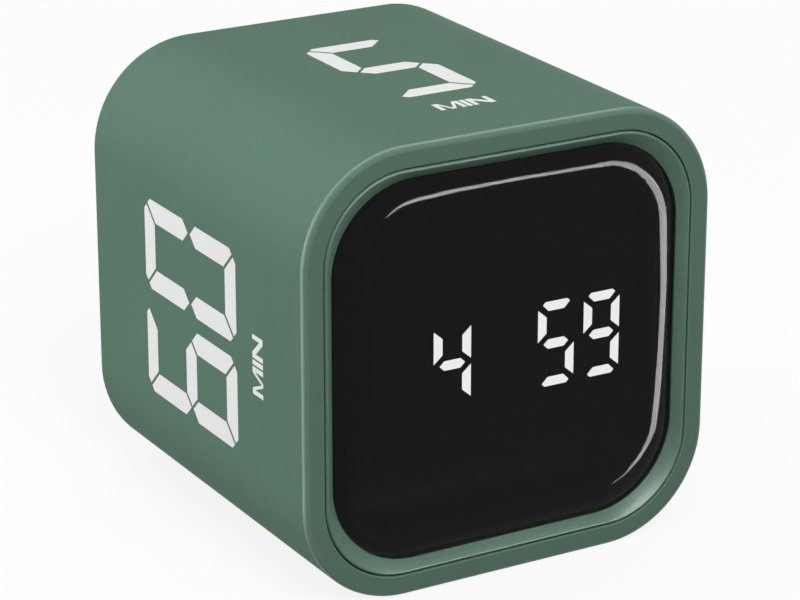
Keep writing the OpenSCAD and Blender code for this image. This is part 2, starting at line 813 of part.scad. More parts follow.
module battery_cells() {
    sleeve_l = cell_l - cell_button_l;
    color("silver") upright() for (cell = CELL_TURNS)
        translate([cell[1] * (tray_l / 2 - contact_t), cell[0] * cell_pitch, cell_z])
            rotate([0, -90 * cell[1], 0]) {
                cylinder(r = cell_button_r, h = cell_button_l + eps);
                translate([0, 0, cell_button_l]) cylinder(r = cell_d / 2, h = sleeve_l);
            }
}

// Contact plate on an end wall of the tray, over the cells from row0 to row1
module contact_plate(side, row0, row1) {
    translate([side * (tray_l / 2 - contact_t / 2), (row0 + row1) / 2 * cell_pitch, cell_z])
        translate([-contact_t / 2, -((row1 - row0) * cell_pitch + plate_h) / 2, -plate_rise])
            cube([contact_t, (row1 - row0) * cell_pitch + plate_h, tray_floor_z - cell_z + plate_rise]);
}

// Solder tab of a contact, through the tray's floor
module contact_tab(side, row) {
    mid_x = side * (tray_l / 2 - contact_t / 2);
    translate([mid_x - contact_t / 2, row * cell_pitch - tab_w / 2, tray_floor_z - 1])
        cube([contact_t, tab_w, tray_floor + tab_l + 1]);
}

// Conical spring from a plate to the flat end of a cell
module contact_spring(side, row) {
    steps = 10 * spring_turns;
    run = spring_l - 2 * spring_wire_r;
    points = [
        for (i = [0:steps])
            let (t = i / steps, r = spring_r - spring_taper * t, a = 360 * spring_turns * t)
                [spring_wire_r + run * t, r * cos(a), r * sin(a)]
    ];
    translate([side * (tray_l / 2 - contact_t), row * cell_pitch, cell_z]) mirror([side > 0 ? 1 : 0, 0, 0])
        wire(points, spring_wire_r, 6, [1, 0, 0]);
}

module positive_contact() {
    color(steel) upright() {
        contact_plate(1, 1, 1);
        contact_tab(1, 1);
    }
}

module negative_contact() {
    color(steel) upright() {
        contact_plate(-1, -1, -1);
        contact_tab(-1, -1);
        contact_spring(-1, -1);
    }
}

module bridge_contacts() {
    color(steel) upright() {
        contact_plate(1, -1, 0);
        contact_spring(1, 0);
        contact_plate(-1, 0, 1);
        contact_spring(-1, 1);
    }
}

// Lead from a contact tab to its pad on the main board
module battery_lead(side) {
    from_x = tray_l / 2 - contact_t - lead_r - pocket_clear;
    from = [side * from_x, side * cell_pitch, tray_end_z + lead_start];
    to = [side * lead_pad.x, side * lead_pad.y, board_back_z];
    wire(lead_points(from, to, side * lead_bow), lead_r, 8, [1, 0, 0]);
}

module red_lead() { color("red") upright() battery_lead(1); }
module black_lead() { color([0.1, 0.1, 0.1]) upright() battery_lead(-1); }

module buzzer() {
    color(dark_plastic) upright() translate([0, -strip_y, cover_in_z])
        cylinder(r = buzzer_d / 2, h = buzzer_h);
}

module buzzer_leads() {
    color("red") upright() for (side = [-1, 1])
        wire(lead_points([side * buzzer_lead_gap / 2, -strip_y, cover_in_z + buzzer_h],
                         [side * buzzer_lead_gap / 2, -strip_y, board_back_z],
                         [side * buzzer_lead_bow.x, buzzer_lead_bow.y]),
             lead_r, 8, [1, 0, 0]);
}

module control_board() {
    color(board_green) upright() difference() {
        translate([-control_board_w / 2, strip_y - control_board_h / 2, control_back_z])
            cube([control_board_w, control_board_h, control_board_t]);
        at_control_screws() translate([0, 0, control_back_z - 1])
            cylinder(r = screw_r + screw_clear, h = control_board_t + 2);
    }
}

module control_board_screws() {
    color(steel) upright() at_control_screws() translate([0, 0, control_front_z]) screw(control_screw_l);
}

module switch_frame() {
    slot_l = lever_w + 2 * switch_travel + 2 * control_clear;
    color(steel) upright() translate([switch_x, strip_y, control_back_z - switch_size.z]) difference() {
        translate([-switch_size.x / 2, -switch_size.y / 2, 0]) cube(switch_size);
        cube([slot_l, lever_h + 2 * control_clear, 2 * (lever_in + control_clear)], center = true);
    }
}

module tact_switches() {
    color(dark_plastic) upright() for (k = [0, 1]) at_button(k)
        translate([0, 0, control_back_z - tact_h]) difference() {
            translate([-tact_w / 2, -tact_w / 2, 0]) cube([tact_w, tact_w, tact_h]);
            translate([0, 0, -1])
                cylinder(r = plunger_r + plunger_clear, h = 1 + plunger_in + button_travel + plunger_clear);
        }
}

module battery_door() {
    latch_y = door_h / 2 - door_gap;
    color(sage) upright() {
        intersection() {
            translate([0, 0, cover_out_z]) linear_extrude(door_t) door_outline(door_w, door_h);
            translate([-door_w, hinge_y, cover_out_z - 1]) cube([2 * door_w, 2 * door_h, door_t + 2]);
        }
        translate([-door_w / 2, hinge_y, hinge_z]) rotate([0, 90, 0]) cylinder(r = barrel_r, h = door_w);
        translate([-door_w / 2 - hinge_pin_l, hinge_y, hinge_z]) rotate([0, 90, 0])
            cylinder(r = hinge_pin_r, h = door_w + 2 * hinge_pin_l);
        translate([-latch_w / 2, latch_y - latch_t, door_in_z - eps])
            cube([latch_w, latch_t, latch_l + eps]);
        translate([-latch_w / 2, latch_y, door_in_z + latch_l - 2 * latch_bump_r]) rotate([0, 90, 0])
            cylinder(r = latch_bump_r, h = latch_w);
    }
}

module cell_pad() {
    color([0.15, 0.15, 0.15]) upright() translate([-pad_size.x / 2, -pad_size.y / 2, door_in_z])
        cube([pad_size.x, pad_size.y, pad_t]);
}

// Knob with three grip lines, its flange inside the cover and a pocket for the lever
module switch_knob() {
    top_z = cover_out_z - knob_out;
    grip_r = 0.3;
    color([0.26, 0.32, 0.29]) upright() translate([switch_x, strip_y, 0]) difference() {
        union() {
            translate([-knob_flange_w / 2, -knob_flange_h / 2, control_seat_z])
                cube([knob_flange_w, knob_flange_h, knob_flange_t]);
            translate([-knob_w / 2, -knob_h / 2, top_z])
                cube([knob_w, knob_h, control_seat_z - top_z + eps]);
        }
        translate([0, 0, control_seat_z + knob_flange_t])
            cube([lever_w + 2 * pocket_clear, lever_h + 2 * pocket_clear, 2 * (lever_grip + pocket_clear)],
                 center = true);
        for (i = [-1:1]) translate([i * knob_w / 4, 0, top_z]) rotate([90, 0, 0])
            cylinder(r = grip_r, h = 2 * knob_h, center = true);
    }
}

module switch_lever() {
    top_z = control_seat_z + knob_flange_t - lever_grip;
    color("ivory") upright() translate([switch_x - lever_w / 2, strip_y - lever_h / 2, top_z])
        cube([lever_w, lever_h, control_back_z - switch_size.z + lever_in - top_z]);
}

// Button with a retaining flange and a stem that reaches the plunger
module button(k) {
    top_z = cover_out_z - button_out;
    tip_z = control_back_z - tact_h - plunger_out();
    dish_r = 6;
    dish_t = 0.25;
    color([0.26, 0.32, 0.29]) upright() at_button(k) difference() {
        union() {
            translate([0, 0, top_z]) cylinder(r = button_r, h = control_seat_z - top_z + eps);
            translate([0, 0, control_seat_z]) cylinder(r = button_r + button_flange_w, h = button_flange_t);
            translate([0, 0, control_seat_z]) cylinder(r = stem_r, h = tip_z - control_seat_z);
        }
        translate([0, 0, top_z + dish_t - dish_r]) sphere(dish_r);
    }
}

// Height of a plunger above its switch: half of what lies between the switch and the flange
function plunger_out() =
    (control_back_z - tact_h - control_seat_z - button_flange_t + button_travel) / 2;

module plunger(k) {
    color("ivory") upright() at_button(k) translate([0, 0, control_back_z - tact_h - plunger_out()])
        cylinder(r = plunger_r, h = plunger_out() + plunger_in);
}

module minute_button() { button(0); }
module second_button() { button(1); }
module minute_plunger() { plunger(0); }
module second_plunger() { plunger(1); }

body_shell();
front_bezel();
lens_tape();
display_lens();
mark_5();
mark_15();
mark_30();
mark_60();
display_housing();
lit_segments();
dark_segments();
display_pins();
main_board();
board_screws();
controller_chip();
gravity_sensor();
crystal();
supply_capacitor();
driver_resistors();
digit_transistors();
cable_socket();
control_cable();
rear_cover();
cover_screws();
battery_cells();
positive_contact();
negative_contact();
bridge_contacts();
red_lead();
black_lead();
buzzer();
buzzer_leads();
control_board();
control_board_screws();
switch_frame();
tact_switches();
battery_door();
cell_pad();
switch_knob();
switch_lever();
minute_button();
minute_plunger();
second_button();
second_plunger();
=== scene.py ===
"""Looks of the flip cube timer: soft-touch case, smoked lens over a lit display, studio and camera."""
import json
import math

import bmesh
import bpy
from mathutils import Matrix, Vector


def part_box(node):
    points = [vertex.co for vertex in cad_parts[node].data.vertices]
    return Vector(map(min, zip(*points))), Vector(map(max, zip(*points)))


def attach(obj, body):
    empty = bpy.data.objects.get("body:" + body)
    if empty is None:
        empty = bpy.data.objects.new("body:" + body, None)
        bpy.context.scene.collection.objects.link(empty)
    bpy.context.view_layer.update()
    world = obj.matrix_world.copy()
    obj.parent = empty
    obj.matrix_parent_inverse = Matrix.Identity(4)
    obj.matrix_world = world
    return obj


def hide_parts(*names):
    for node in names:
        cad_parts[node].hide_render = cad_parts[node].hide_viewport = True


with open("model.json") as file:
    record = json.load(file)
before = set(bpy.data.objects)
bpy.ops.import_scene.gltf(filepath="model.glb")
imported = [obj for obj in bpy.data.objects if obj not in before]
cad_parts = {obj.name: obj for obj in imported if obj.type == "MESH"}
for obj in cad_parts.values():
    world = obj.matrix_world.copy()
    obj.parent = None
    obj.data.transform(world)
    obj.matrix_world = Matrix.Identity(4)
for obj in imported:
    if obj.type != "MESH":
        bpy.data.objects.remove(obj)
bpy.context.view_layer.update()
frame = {"nodes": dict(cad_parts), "record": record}
nodes = frame["nodes"]

MM = 0.001
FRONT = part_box("body_shell")[0].y
MIDDLE = (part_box("body_shell")[0].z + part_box("body_shell")[1].z) / 2
CORNER_STEPS = 48

# Sizes of the rim, the bezel and the lens that their boxes do not give
RIM_EDGE = 0.85 * MM
BEZEL_RADIUS = 11.5 * MM
BEZEL_EDGE = 0.3 * MM
BEZEL_BULGE = 0.08 * MM
BEZEL_STEPS = 10
LENS_RADIUS = 11.6 * MM
LENS_GAP = 0.15 * MM
LENS_SHELF = 2.3 * MM
LENS_CROWN = 1.0 * MM
LENS_ROLL = 4.2 * MM
LENS_STEPS = 40

# Sizes of the battery cells and of the pad in the door that their boxes do not give
CELL_ROWS = 3
CELL_BUTTON = 1.9 * MM
CELL_LIP = 0.25 * MM
CELL_BAND = 0.3
CELL_SIDES = 64
PAD_ROUND = 0.6 * MM
PAD_DENT = 0.25 * MM
PAD_DRAWN_IN = 0.3 * MM
PAD_GRID = (60, 48)


class Shader:
    """One material's nodes, with short ways to add and join them."""

    def __init__(self, name):
        self.material = bpy.data.materials.new(name)
        self.material.use_nodes = True
        self.tree = self.material.node_tree
        self.surface = self.tree.nodes["Principled BSDF"]

    def put(self, socket, value):
        self.surface.inputs[socket].default_value = value

    def node(self, kind, **settings):
        made = self.tree.nodes.new(kind)
        for key, value in settings.items():
            setattr(made, key, value)
        return made

    def join(self, source, target):
        self.tree.links.new(source, target)

    def place(self):
        return self.node("ShaderNodeTexCoord").outputs["Object"]

    def noise(self, per_metre, detail=2.0, roughness=0.5):
        made = self.node("ShaderNodeTexNoise")
        made.inputs["Scale"].default_value = per_metre
        made.inputs["Detail"].default_value = detail
        made.inputs["Roughness"].default_value = roughness
        self.join(self.place(), made.inputs["Vector"])
        return made.outputs["Fac"]

    def between(self, factor, low, high):
        """A number that runs from low to high as the factor runs over the middle of a noise."""
        made = self.node("ShaderNodeMapRange")
        made.inputs["From Min"].default_value = 0.3
        made.inputs["From Max"].default_value = 0.7
        made.inputs["To Min"].default_value = low
        made.inputs["To Max"].default_value = high
        self.join(factor, made.inputs["Value"])
        return made.outputs["Result"]

    def blend(self, factor, first, second):
        """A colour between two colours."""
        made = self.node("ShaderNodeMix", data_type="RGBA")
        for socket, value in ((made.inputs["A"], first), (made.inputs["B"], second)):
            if isinstance(value, bpy.types.NodeSocket):
                self.join(value, socket)
            else:
                socket.default_value = (*value, 1)
        self.join(factor, made.inputs["Factor"])
        return made.outputs["Result"]

    def bump(self, height, strength, distance):
        made = self.node("ShaderNodeBump")
        made.inputs["Strength"].default_value = strength
        made.inputs["Distance"].default_value = distance
        self.join(height, made.inputs["Height"])
        self.join(made.outputs["Normal"], self.surface.inputs["Normal"])


def shade(colour, factor):
    """A colour made darker or lighter."""
    return tuple(factor * part for part in colour)


# Materials of the outside

GRAIN_PER_METRE = 5200
CLOUDS_PER_METRE = 55
ROUGHNESS_SPREAD = 0.06


def soft_touch(name, colour, grain=0.1, roughness=0.48, gloss=0.004):
    """Rubbery painted plastic: fine speckle over faint clouds, dull with a satin edge."""
    shader = Shader(name)
    speckle = shader.noise(GRAIN_PER_METRE, detail=3)
    spots = shader.between(speckle, 0, 1)
    clouds = shader.between(shader.noise(CLOUDS_PER_METRE, detail=3), 0, 1)
    dark = shader.blend(clouds, shade(colour, 0.98 - grain), shade(colour, 1.02 - grain))
    light = shader.blend(clouds, shade(colour, 0.98 + grain), shade(colour, 1.02 + grain))
    shader.join(shader.blend(spots, dark, light), shader.surface.inputs["Base Color"])
    shader.join(shader.between(speckle, roughness - ROUGHNESS_SPREAD, roughness + ROUGHNESS_SPREAD),
                shader.surface.inputs["Roughness"])
    shader.put("Specular IOR Level", gloss)
    shader.bump(speckle, 0.35, 0.03 * MM)
    return shader.material


def printed_ink(name, colour):
    """Screen-printed ink that follows the grain below it."""
    shader = Shader(name)
    grain = shader.noise(GRAIN_PER_METRE, detail=3)
    shader.join(shader.blend(shader.between(grain, 0, 1), shade(colour, 0.95), colour),
                shader.surface.inputs["Base Color"])
    shader.join(shader.between(grain, 0.5, 0.62), shader.surface.inputs["Roughness"])
    shader.put("Specular IOR Level", 0.3)
    shader.bump(grain, 0.2, 0.02 * MM)
    return shader.material


def smoked_lens(name):
    """Black tinted plastic that lets a lit display through."""
    shader = Shader(name)
    shader.put("Base Color", (0.005, 0.005, 0.005, 1))
    shader.put("Roughness", 0.015)
    shader.put("Specular IOR Level", 0.1)
    shader.put("Alpha", 0.7)
    return shader.material


def lit_diffuser(name, strength):
    """Milky segment with a lamp behind it."""
    shader = Shader(name)
    shader.put("Base Color", (0.8, 0.8, 0.8, 1))
    shader.put("Roughness", 0.6)
    shader.put("Emission Color", (1, 1, 1, 1))
    shader.put("Emission Strength", strength)
    return shader.material


# Materials of the inside

def moulded(name, colour, roughness=0.5, grain=0.06, per_metre=3000):
    """Plain moulded plastic with a fine texture."""
    shader = Shader(name)
    texture = shader.noise(per_metre, detail=2)
    spots = shader.between(texture, 0, 1)
    shader.join(shader.blend(spots, shade(colour, 1 - grain), shade(colour, 1 + grain)),
                shader.surface.inputs["Base Color"])
    shader.join(shader.between(texture, roughness - ROUGHNESS_SPREAD, roughness + ROUGHNESS_SPREAD),
                shader.surface.inputs["Roughness"])
    shader.bump(texture, 0.2, 0.02 * MM)
    return shader.material


def plated(name, colour, roughness=0.3):
    """Plated metal with fine drawn streaks."""
    shader = Shader(name)
    stretch = shader.node("ShaderNodeMapping")
    stretch.inputs["Scale"].default_value = (300, 4000, 4000)
    shader.join(shader.place(), stretch.inputs["Vector"])
    streaks = shader.node("ShaderNodeTexNoise")
    streaks.inputs["Scale"].default_value = 1.0
    shader.join(stretch.outputs["Vector"], streaks.inputs["Vector"])
    factor = shader.between(streaks.outputs["Fac"], 0, 1)
    shader.join(shader.blend(factor, shade(colour, 0.88), colour), shader.surface.inputs["Base Color"])
    shader.join(shader.between(streaks.outputs["Fac"], roughness - 0.08, roughness + 0.08),
                shader.surface.inputs["Roughness"])
    shader.put("Metallic", 1.0)
    return shader.material


SAGE = (0.1, 0.178, 0.133)
CONTROL_GREEN = (0.055, 0.085, 0.068)
WHITE_INK = (0.8, 0.8, 0.8)
SATIN = soft_touch("sage_satin", SAGE, grain=0.14, roughness=0.38, gloss=0.06)
RUBBED = soft_touch("sage_rubbed", SAGE, grain=0.06, roughness=0.36, gloss=0.25)
CELL_SLEEVE = moulded("cell_sleeve", (0.02, 0.03, 0.045), roughness=0.3, grain=0.1)
CELL_PALE = moulded("cell_band", (0.45, 0.47, 0.5), roughness=0.3)

MATERIALS = {
    "case_plastic": soft_touch("sage_soft_touch", SAGE),
    "control_green": soft_touch("control_rubber", CONTROL_GREEN),
    "print_white": printed_ink("white_ink", WHITE_INK),
    "lens_black": smoked_lens("smoked_lens"),
    "segment_lit": lit_diffuser("lit_segment", 9.0),
    "segment_dark": moulded("dark_segment", (0.03, 0.03, 0.03)),
    "black_plastic": moulded("black_plastic", (0.012, 0.012, 0.012)),
    "grey_plastic": moulded("grey_plastic", (0.2, 0.2, 0.2)),
    "ivory_plastic": moulded("ivory_plastic", (0.75, 0.7, 0.58)),
    "board_green": moulded("solder_resist", (0.012, 0.085, 0.04), roughness=0.3, grain=0.15,
                           per_metre=900),
    "ribbon_grey": moulded("ribbon_grey", (0.45, 0.45, 0.45)),
    "lead_red": moulded("lead_red", (0.5, 0.02, 0.02), roughness=0.4),
    "lead_black": moulded("lead_black", (0.015, 0.015, 0.015), roughness=0.4),
    "adhesive": moulded("adhesive_black", (0.02, 0.02, 0.02), roughness=0.8),
    "foam": moulded("foam_black", (0.02, 0.02, 0.02), roughness=0.9, grain=0.5, per_metre=1800),
    "steel": plated("plated_steel", (0.55, 0.55, 0.57)),
    "can_metal": plated("can_metal", (0.6, 0.6, 0.62), roughness=0.35),
}

for part in frame["record"]["subparts"]:
    slots = nodes[part["node"]].data.materials
    slots.clear()
    slots.append(MATERIALS[part["material_slot"]])


def rub_front_edge(piece):
    """Gives the small rounds along the front rim the shine that handling rubs into them."""
    piece.data.materials.append(RUBBED)
    turn = piece.matrix_world.to_3x3()
    for face in piece.data.polygons:
        facing_front = -(turn @ face.normal).y
        near_front = (piece.matrix_world @ face.center).y < FRONT + RIM_EDGE
        if near_front and 0.02 < facing_front < 0.99:
            face.material_index = 1


rub_front_edge(nodes["body_shell"])


# Pieces that replace solids whose curves are coarser than they should look

def corner_angles(quarter):
    """Angles of the points round one corner of a square."""
    return [math.radians(90) * (quarter + step / CORNER_STEPS) for step in range(CORNER_STEPS + 1)]


def rounded_square(width, radius, depth):
    """Points of an upright square with round corners, so far behind the front plane."""
    reach = width / 2 - radius
    points = []
    for quarter, (x, z) in enumerate(((1, 1), (-1, 1), (-1, -1), (1, -1))):
        for angle in corner_angles(quarter):
            points.append(Vector((x * reach + radius * math.cos(angle), FRONT + depth,
                                  MIDDLE + z * reach + radius * math.sin(angle))))
    return points


def loft(name, loops, sharp, closed):
    """Skin over loops of points, capped at its ends or closed on itself, crisp along the sharp loops."""
    shape = bmesh.new()
    rings = [[shape.verts.new(point) for point in loop] for loop in loops]
    count = len(rings[0])
    pairs = list(zip(rings, rings[1:]))
    if closed:
        pairs.append((rings[-1], rings[0]))
    for first, second in pairs:
        for i in range(count):
            k = (i + 1) % count
            shape.faces.new((first[i], first[k], second[k], second[i])).smooth = True
    if not closed:
        shape.faces.new(reversed(rings[0])).smooth = True
        shape.faces.new(rings[-1]).smooth = True
    bmesh.ops.recalc_face_normals(shape, faces=shape.faces)
    for index in sharp:
        for i in range(count):
            edge = shape.edges.get((rings[index][i], rings[index][(i + 1) % count]))
            edge.smooth = False
    mesh = bpy.data.meshes.new(name)
    shape.to_mesh(mesh)
    shape.free()
    piece = bpy.data.objects.new(name, mesh)
    bpy.context.scene.collection.objects.link(piece)
    return piece


def finish_piece(piece, body, slot, stood_for, material=None):
    """Gives a piece its material, its body and the solid that it stands for."""
    piece.data.materials.append(material or MATERIALS[slot])
    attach(piece, body)
    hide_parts(stood_for)


def make_bezel():
    low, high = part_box("front_bezel")
    width = high.x - low.x
    back = high.y - FRONT
    lens_low, lens_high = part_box("display_lens")
    lens_width = lens_high.x - lens_low.x
    pocket = lens_width + 2 * LENS_GAP
    pocket_radius = LENS_RADIUS + LENS_GAP
    window = lens_width - 2 * LENS_SHELF
    window_radius = BEZEL_RADIUS - (width - window) / 2
    edge_depth = lens_low.y - FRONT + LENS_CROWN
    ledge_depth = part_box("lens_tape")[1].y - FRONT
    loops = [rounded_square(width, BEZEL_RADIUS, back)]
    for step in range(BEZEL_STEPS + 1):
        angle = math.radians(90) * step / BEZEL_STEPS
        inset = BEZEL_EDGE * (1 - math.cos(angle))
        depth = BEZEL_EDGE * (1 - math.sin(angle))
        loops.append(rounded_square(width - 2 * inset, BEZEL_RADIUS - inset, depth))
    top_width = width - 2 * BEZEL_EDGE
    top_radius = BEZEL_RADIUS - BEZEL_EDGE
    for step in range(1, BEZEL_STEPS + 1):
        share = step / BEZEL_STEPS
        bulge = BEZEL_BULGE * math.sin(math.pi * share)
        loops.append(rounded_square(top_width + (pocket - top_width) * share,
                                    top_radius + (pocket_radius - top_radius) * share,
                                    edge_depth * share - bulge))
    slope_end = len(loops) - 1
    loops.append(rounded_square(pocket, pocket_radius, ledge_depth))
    loops.append(rounded_square(window, window_radius, ledge_depth))
    loops.append(rounded_square(window, window_radius, back))
    last = len(loops)
    piece = loft("bezel_ring", loops, [0, slope_end, *range(slope_end + 1, last)], closed=True)
    finish_piece(piece, "case", "case_plastic", "front_bezel", SATIN)
    return piece


def make_lens():
    low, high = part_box("display_lens")
    width = high.x - low.x
    top = low.y - FRONT
    back = high.y - FRONT
    loops = [rounded_square(width, LENS_RADIUS, back)]
    outward = [angle for quarter in range(4) for angle in corner_angles(quarter)]
    # The two crisp edges keep the normals that their faces give them
    normals = [Vector()] * (2 * len(outward))
    # The edge rolls off along an arc that meets the flat without a step
    arc = (LENS_ROLL ** 2 + LENS_CROWN ** 2) / (2 * LENS_CROWN)
    steepest = math.asin(LENS_ROLL / arc)
    for step in range(LENS_STEPS + 1):
        slope = steepest * (1 - step / LENS_STEPS)
        inset = LENS_ROLL - arc * math.sin(slope)
        depth = top + arc * (1 - math.cos(slope))
        loops.append(rounded_square(width - 2 * inset, LENS_RADIUS - inset, depth))
        if step > 0:
            lean = math.sin(slope)
            normals += [Vector((lean * math.cos(angle), -math.cos(slope), lean * math.sin(angle)))
                        for angle in outward]
    piece = loft("smoked_lens", loops, [0, 1], closed=False)
    piece.data.normals_split_custom_set([normals[corner.vertex_index] for corner in piece.data.loops])
    finish_piece(piece, "case", "lens_black", "display_lens")
    return piece


def make_cell(row):
    """One battery cell: a metal can with a button at one end, in a sleeve with a pale band."""
    low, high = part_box("battery_cells")
    radius = (high.y - low.y) / 2
    pitch = (high.z - low.z - 2 * radius) / (CELL_ROWS - 1)
    middle = Vector((0, low.y + radius, low.z + radius + row * pitch))
    solid = nodes["battery_cells"]
    points = [solid.matrix_world @ vertex.co for vertex in solid.data.vertices]
    points = [point for point in points if abs(point.z - middle.z) < radius + 0.1 * MM]
    wide = [point.x for point in points
            if math.hypot(point.y - middle.y, point.z - middle.z) > radius / 2]
    ends = [point.x for point in points]
    # The button is at the end where the narrow part sticks out
    if max(ends) - max(wide) > min(wide) - min(ends):
        tip, shoulder, foot = max(ends), max(wide), min(wide)
    else:
        tip, shoulder, foot = min(ends), min(wide), max(wide)
    away = 1 if foot > tip else -1
    button = abs(shoulder - tip)
    length = abs(foot - tip)
    band = button + CELL_BAND * (length - button)
    lip = CELL_LIP
    metal, sleeve, pale = range(3)
    profile = [
        (0, CELL_BUTTON - lip, metal), (lip / 2, CELL_BUTTON, metal), (button, CELL_BUTTON, metal),
        (button, radius - 3 * lip, sleeve), (button - lip / 2, radius - 2 * lip, sleeve),
        (button, radius - lip / 2, sleeve), (button + lip, radius, pale), (band, radius, sleeve),
        (length - lip, radius, sleeve), (length, radius - lip, sleeve),
        (length, radius - 3 * lip, metal), (length - lip, radius - 4 * lip, metal),
    ]
    loops = []
    for along, wide_by, _ in profile:
        angles = [math.tau * side / CELL_SIDES for side in range(CELL_SIDES)]
        loops.append([Vector((tip + away * along, middle.y + wide_by * math.cos(angle),
                              middle.z + wide_by * math.sin(angle))) for angle in angles])
    piece = loft(f"battery_cell_{row + 1}", loops, range(len(loops)), closed=False)
    finish_piece(piece, "case", "can_metal", "battery_cells")
    piece.data.materials.append(CELL_SLEEVE)
    piece.data.materials.append(CELL_PALE)
    for index, face in enumerate(piece.data.polygons):
        step = index // CELL_SIDES
        if step < len(profile) - 1:
            face.material_index = profile[step][2]


def make_pad():
    """Foam pad inside the door: full, rounded off at its edges, with a dent from each cell."""
    low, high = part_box("cell_pad")
    cells_low, cells_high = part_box("battery_cells")
    cell = (cells_high.z - cells_low.z) / CELL_ROWS
    middle = (low + high) / 2
    half = (high - low) / 2
    across, along = PAD_GRID
    shape = bmesh.new()
    front = {}
    rear = {}
    for i in range(across + 1):
        for k in range(along + 1):
            # Rows lie closer together towards the edges, where the foam is round
            u = -math.cos(math.pi * i / across)
            v = -math.cos(math.pi * k / along)
            x = middle.x + u * (half.x - PAD_DRAWN_IN * (1 - v * v))
            z = middle.z + v * (half.z - PAD_DRAWN_IN * (1 - u * u))
            inside = min(1, min(half.x * (1 - abs(u)), half.z * (1 - abs(v))) / PAD_ROUND)
            full = math.sqrt(1 - (1 - inside) ** 2)
            dent = PAD_DENT * (0.5 + 0.5 * math.cos(math.tau * ((z - cells_low.z) / cell - 0.5)))
            front[i, k] = shape.verts.new((x, high.y - full * (2 * half.y - dent), z))
            edge = i in (0, across) or k in (0, along)
            rear[i, k] = front[i, k] if edge else shape.verts.new((x, high.y, z))
    for i in range(across):
        for k in range(along):
            for sheet in (front, rear):
                corners = (sheet[i, k], sheet[i + 1, k], sheet[i + 1, k + 1], sheet[i, k + 1])
                shape.faces.new(corners).smooth = True
    bmesh.ops.recalc_face_normals(shape, faces=shape.faces)
    mesh = bpy.data.meshes.new("foam_pad")
    shape.to_mesh(mesh)
    shape.free()
    piece = bpy.data.objects.new("foam_pad", mesh)
    bpy.context.scene.collection.objects.link(piece)
    finish_piece(piece, "battery_door", "foam", "cell_pad")


bezel = make_bezel()
lens = make_lens()
for row in range(CELL_ROWS):
    make_cell(row)
make_pad()


# Stage, light and camera

FLOOR_SIZE = 6.0
FLOOR_GLOW = 0.85
FLOOR_SEEN = (0.9, 0.9, 0.9)
FLOOR_LIGHTING = (0.14, 0.14, 0.14)
AMBIENT = 0.5
LAMP_AWAY = 0.8
GLINT_AWAY = 1.0


def seen_directly(tree):
    """One for rays from the camera, off gloss or through glass, and nought for light on other things."""
    rays = tree.nodes.new("ShaderNodeLightPath")
    seen = rays.outputs["Is Camera Ray"]
    for kind in ("Is Glossy Ray", "Is Transmission Ray"):
        either = tree.nodes.new("ShaderNodeMath")
        either.operation = "MAXIMUM"
        tree.links.new(seen, either.inputs[0])
        tree.links.new(rays.outputs[kind], either.inputs[1])
        seen = either.outputs["Value"]
    return seen


def make_floor():
    """Pale floor that is white to the camera apart from the object's shadow."""
    shader = Shader("pale_floor")
    seen = seen_directly(shader.tree)
    shader.join(shader.blend(seen, FLOOR_LIGHTING, FLOOR_SEEN), shader.surface.inputs["Base Color"])
    shader.put("Roughness", 0.9)
    shader.put("Specular IOR Level", 0.0)
    glow = shader.node("ShaderNodeEmission")
    glow.inputs["Strength"].default_value = 1.0
    share = shader.node("ShaderNodeMath", operation="MULTIPLY")
    share.inputs[1].default_value = FLOOR_GLOW
    shader.join(seen, share.inputs[0])
    mix = shader.node("ShaderNodeMixShader")
    shader.join(share.outputs["Value"], mix.inputs["Fac"])
    shader.join(shader.surface.outputs["BSDF"], mix.inputs[1])
    shader.join(glow.outputs["Emission"], mix.inputs[2])
    shader.join(mix.outputs["Shader"], shader.tree.nodes["Material Output"].inputs["Surface"])
    mesh = bpy.data.meshes.new("floor")
    half = FLOOR_SIZE / 2
    corners = [(-half, -half, 0), (half, -half, 0), (half, half, 0), (-half, half, 0)]
    mesh.from_pydata(corners, [], [(0, 1, 2, 3)])
    floor = bpy.data.objects.new("floor", mesh)
    floor.data.materials.append(shader.material)
    floor.visible_glossy = False
    bpy.context.scene.collection.objects.link(floor)


def make_world():
    """Even light all round, with a white background behind the object and in its reflections."""
    world = bpy.data.worlds.new("studio")
    world.use_nodes = True
    tree = world.node_tree
    sky = tree.nodes["Background"]
    sky.inputs["Color"].default_value = (1, 1, 1, 1)
    level = tree.nodes.new("ShaderNodeMapRange")
    level.inputs["To Min"].default_value = AMBIENT
    level.inputs["To Max"].default_value = 1.0
    tree.links.new(seen_directly(tree), level.inputs["Value"])
    tree.links.new(level.outputs["Result"], sky.inputs["Strength"])
    bpy.context.scene.world = world


def area_light(name, centre, turn, size, power):
    """Soft panel that the camera does not see."""
    lamp = bpy.data.lights.new(name, "AREA")
    lamp.shape = "RECTANGLE"
    lamp.size, lamp.size_y = size
    lamp.energy = power
    panel = bpy.data.objects.new(name, lamp)
    panel.location = centre
    panel.rotation_mode = "QUATERNION"
    panel.rotation_quaternion = turn
    panel.visible_camera = False
    bpy.context.scene.collection.objects.link(panel)
    return panel


def facing(direction):
    """Turn of a panel that stands off in a direction and faces back."""
    return (-Vector(direction)).to_track_quat("-Z", "Y")


def only_gloss(panel, pieces):
    """Lets a panel show in the gloss of some pieces, with nothing else lit by it or in its way."""
    panel.visible_diffuse = False
    group = bpy.data.collections.new(panel.name + "_pieces")
    for piece in pieces:
        group.objects.link(piece)
    panel.light_linking.receiver_collection = group
    panel.light_linking.blocker_collection = group


